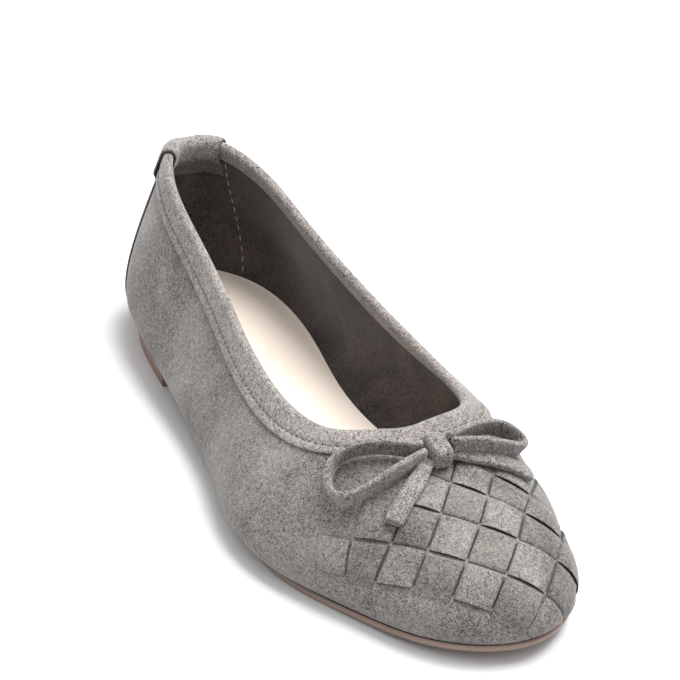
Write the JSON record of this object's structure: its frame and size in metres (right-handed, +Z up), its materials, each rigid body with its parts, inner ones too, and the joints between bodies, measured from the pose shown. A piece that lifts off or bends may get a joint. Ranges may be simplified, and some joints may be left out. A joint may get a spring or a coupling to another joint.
{
  "type": "ballet flat",
  "caption": "Slip-on flat shoe with a suede upper woven in wide strips over the toe, a bound collar, a ribbon bow on the vamp, a heel stay and a low stacked heel.",
  "frame": {"origin": "centre of the bounding box's underside, on the surface that the shoe stands on", "axes": "+X from heel to toe, +Y to the wearer's left, which is the inner side of this right shoe, +Z up"},
  "size_m": [0.2558, 0.0972, 0.0675],
  "materials": {
    "suede": "warm grey suede with a fine short nap, matte",
    "suede_trim": "the same suede a little lighter, folded over edges and stitched, matte",
    "insole": "cream smooth sock leather, soft sheen",
    "sole": "brown leather sole plate with a rounded, dyed edge, satin",
    "heel_stack": "stacked leather lifts with fine dark lines between them, satin"
  },
  "bodies": {
    "root": {"outsole": "sole", "heel_block": "heel_stack", "insole": "insole", "upper": "suede", "topline_binding": "suede_trim", "heel_stay": "suede_trim", "bow_knot": "suede_trim", "bow_loop_lateral": "suede_trim", "bow_loop_medial": "suede_trim", "bow_tail_lateral": "suede_trim", "bow_tail_medial": "suede_trim"}
  },
  "joints": []
}
